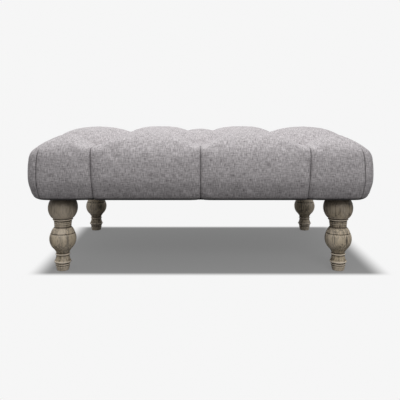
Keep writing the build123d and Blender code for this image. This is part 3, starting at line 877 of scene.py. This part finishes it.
def buildStaples():
    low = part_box("dust_cover")[0]
    bm = bmesh.new()
    wire = staple["wire"]
    for x, y, turn in stapleSpots():
        crown = bmesh.ops.create_cube(bm, size=1.0)["verts"]
        bmesh.ops.scale(bm, vec=(staple["width"], wire * staple["flatShare"], wire), verts=crown)
        ends = [edge for vert in crown for edge in vert.link_edges
                if abs(edge.verts[0].co.x - edge.verts[1].co.x) > wire]
        bmesh.ops.bevel(bm, geom=list(set(ends)), offset=wire * staple["bevelShare"], offset_type="OFFSET",
                        segments=1, profile=0.5, affect="EDGES", material=-1)
        # the new staple still lies at the origin, far below those already placed
        made = [vert for vert in bm.verts if abs(vert.co.z) < staple["width"]]
        turn += staple["tilt"] * math.sin(x * staple["tiltX"] + y * staple["tiltY"])
        bmesh.ops.rotate(bm, cent=(0, 0, 0), matrix=Matrix.Rotation(turn, 3, "Z"), verts=made)
        bmesh.ops.translate(bm, vec=(x, y, low.z - staple["lift"]), verts=made)
    piece = meshPiece("staples", bm)
    material, tree, shader = newMaterial("stapleWire", staple["roughness"])
    shader.inputs["Metallic"].default_value = 1.0
    scratches = noise(tree, objectPlace(tree), *staple["scratches"])
    tree.links.new(twoTone(tree, scratches, staple["dark"], staple["light"]), shader.inputs["Base Color"])
    setMaterial(piece, material)


buildLining()
buildStaples()
print("underside ready")

# the hidden frame and fittings keep their CAD shapes and get finishes alone
timber = {"roughness": 0.7, "bump": 0.3, "bumpDistance": 0.0004,
          "pine": {"Dark": (0.42, 0.27, 0.13, 1), "Middle": (0.62, 0.45, 0.25, 1),
                   "Light": (0.72, 0.57, 0.36, 1)},
          "ply": {"Dark": (0.4, 0.27, 0.15, 1), "Middle": (0.58, 0.43, 0.26, 1),
                  "Light": (0.66, 0.52, 0.34, 1)},
          "alongX": (0, math.pi / 2, 0), "alongY": (math.pi / 2, 0, 0)}


def timberMaterial(name, tones, along):
    material, tree, shader = newMaterial(name, timber["roughness"])
    turned = addNode(tree, "ShaderNodeMapping")
    turned.inputs["Rotation"].default_value = along
    tree.links.new(objectPlace(tree), turned.inputs["Vector"])
    wooden = useGroup(tree, grain, turned.outputs[0], **tones)
    tree.links.new(wooden.outputs["Color"], shader.inputs["Base Color"])
    addBump(tree, shader, wooden.outputs["Height"], timber["bump"], timber["bumpDistance"])
    return material


# dark and light tone, roughness, metallic and the speckle's scale
fittings = {"zincPlate": ((0.45, 0.45, 0.46), (0.65, 0.65, 0.66), 0.38, 1.0, 500),
            "blackPlastic": ((0.02, 0.02, 0.02), (0.035, 0.035, 0.035), 0.5, 0.0, 500),
            "waxedTwine": ((0.55, 0.5, 0.4), (0.75, 0.71, 0.62), 0.8, 0.0, 1500)}
speckle = {"detail": 3.0, "roughness": 0.6, "bump": 0.15, "bumpDistance": 0.0003}


def fittingMaterial(name):
    dark, light, roughness, metallic, scale = fittings[name]
    material, tree, shader = newMaterial(name, roughness)
    shader.inputs["Metallic"].default_value = metallic
    specks = noise(tree, objectPlace(tree), scale, speckle["detail"], speckle["roughness"])
    tree.links.new(twoTone(tree, specks, dark, light), shader.inputs["Base Color"])
    addBump(tree, shader, specks, speckle["bump"], speckle["bumpDistance"])
    return material


pineX = timberMaterial("pineLong", timber["pine"], timber["alongX"])
pineY = timberMaterial("pineShort", timber["pine"], timber["alongY"])
ply = timberMaterial("plyBoard", timber["ply"], timber["alongX"])
zinc, blackPlastic, twineFibre = [fittingMaterial(name) for name in fittings]

finishes = {"front_rail": pineX, "rear_rail": pineX, "left_rail": pineY, "right_rail": pineY,
            "left_brace": pineY, "right_brace": pineY, "deck_panel": ply, "leg_bolts": zinc, "tee_nuts": zinc,
            "button_backs": blackPlastic, "twine_toggles": blackPlastic, "button_twines": twineFibre}
finishes.update({node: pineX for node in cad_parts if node.startswith("corner_block_")})
for node, material in finishes.items():
    setMaterial(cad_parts[node], material)
print("frame finishes ready")

# floor, light and camera; the painted shadow's places are X and Y on the floor
studio = {"floorSize": 12, "paintedShadowTone": (0.17, 0.17, 0.17, 1), "floorBounce": (0.22, 0.22, 0.22, 1),
          "white": (1, 1, 1, 1), "background": 0.921,
          "shadowLift": 0.205, "shadowMiddle": (0.0245, 0.0), "shadowHalf": (0.472, 0.297),
          "shadowEdge": (0.036, 0.018), "horizonLight": 0.07, "zenithLight": 0.85,
          "keyPower": 22.5, "keySize": (0.7, 0.5), "keyPlace": (-0.24, 0.62, 2.2), "keyAim": (0, 0, 0.3),
          "fillPower": 10.5, "fillSize": (1.1, 0.5), "fillPlace": (0.6, -1.85, 1.45), "fillAim": (0, 0, 0.25)}


def floorMaterial():
    material, tree, shader = newMaterial("studioFloor", 1.0)
    shader.inputs["Specular IOR Level"].default_value = 0.0
    path = addNode(tree, "ShaderNodeLightPath")
    # the camera sees the darker tone, which makes the painted shadow
    tone = mixColour(tree, path.outputs["Is Camera Ray"], studio["floorBounce"], studio["paintedShadowTone"])
    tree.links.new(tone, shader.inputs["Base Color"])
    glow = addNode(tree, "ShaderNodeEmission")
    glow.inputs["Color"].default_value = studio["white"]
    glow.inputs["Strength"].default_value = studio["background"]
    # a painted shadow: inside a soft rectangle round the object, the camera sees the floor in its darker tone
    # with its real shading and a share of glow, and the rectangle fades into the backdrop
    axes = splitAxes(tree, objectPlace(tree))
    limits = zip(axes, studio["shadowMiddle"], studio["shadowHalf"], studio["shadowEdge"])
    near = [fade(tree, apart(tree, axis, middle), half + edge, half - edge)
            for axis, middle, half, edge in limits]
    inside = maths(tree, "MULTIPLY", maths(tree, "MULTIPLY", *near), 1 - studio["shadowLift"])
    seen = maths(tree, "MULTIPLY", maths(tree, "SUBTRACT", 1.0, inside), path.outputs["Is Camera Ray"])
    above = mixShader(tree, seen, shader.outputs[0], glow.outputs[0])
    # from below, the floor is clear
    clear = addNode(tree, "ShaderNodeBsdfTransparent")
    below = addNode(tree, "ShaderNodeNewGeometry").outputs["Backfacing"]
    whole = mixShader(tree, below, above, clear.outputs[0])
    tree.links.new(whole, tree.nodes["Material Output"].inputs["Surface"])
    return material


def buildFloor():
    bm = bmesh.new()
    bmesh.ops.create_grid(bm, x_segments=2, y_segments=2, size=studio["floorSize"])
    mesh = bpy.data.meshes.new("floor")
    bm.to_mesh(mesh)
    bm.free()
    floor = bpy.data.objects.new("floor", mesh)
    bpy.context.scene.collection.objects.link(floor)
    setMaterial(floor, floorMaterial())


def buildWorld():
    world = bpy.data.worlds.new("studioWorld")
    bpy.context.scene.world = world
    world.use_nodes = True
    tree = world.node_tree
    light = tree.nodes["Background"]
    light.inputs["Color"].default_value = studio["white"]
    # brighter overhead than at the horizon, as under a ceiling of soft boxes
    axes = splitAxes(tree, addNode(tree, "ShaderNodeTexCoord").outputs["Generated"])
    height = maths(tree, "MAXIMUM", axes[2], 0.0)
    strength = maths(tree, "MULTIPLY", height, studio["zenithLight"] - studio["horizonLight"])
    strength = maths(tree, "ADD", strength, studio["horizonLight"])
    tree.links.new(strength, light.inputs["Strength"])
    back = addNode(tree, "ShaderNodeBackground")
    back.inputs["Color"].default_value = studio["white"]
    back.inputs["Strength"].default_value = studio["background"]
    path = addNode(tree, "ShaderNodeLightPath")
    seen = maths(tree, "MAXIMUM", path.outputs["Is Camera Ray"], path.outputs["Is Glossy Ray"])
    whole = mixShader(tree, seen, light.outputs[0], back.outputs[0])
    tree.links.new(whole, tree.nodes["World Output"].inputs["Surface"])


def addLamp(name, power, size, place, target):
    data = bpy.data.lights.new(name, "AREA")
    data.shape = "RECTANGLE"
    data.size, data.size_y = size
    data.energy = power
    lamp = bpy.data.objects.new(name, data)
    lamp.location = place
    lamp.rotation_euler = (Vector(target) - Vector(place)).to_track_quat("-Z", "Y").to_euler()
    bpy.context.scene.collection.objects.link(lamp)


buildFloor()
buildWorld()
addLamp("overheadLight", studio["keyPower"], studio["keySize"], studio["keyPlace"], studio["keyAim"])
addLamp("frontFill", studio["fillPower"], studio["fillSize"], studio["fillPlace"], studio["fillAim"])

# a level camera, shifted down, as in the photograph
view = {"lens": 50, "sensor": 36, "place": (-0.0015, -1.82, 0.4625), "shiftY": -0.236}
data = bpy.data.cameras.new("photoCamera")
data.lens = view["lens"]
data.sensor_width = view["sensor"]
data.shift_y = view["shiftY"]
camera = bpy.data.objects.new("photoCamera", data)
camera.location = view["place"]
camera.rotation_euler = (math.pi / 2, 0, 0)
bpy.context.scene.collection.objects.link(camera)
bpy.context.scene.camera = camera
bpy.context.scene.view_settings.view_transform = "Standard"
print("studio ready")
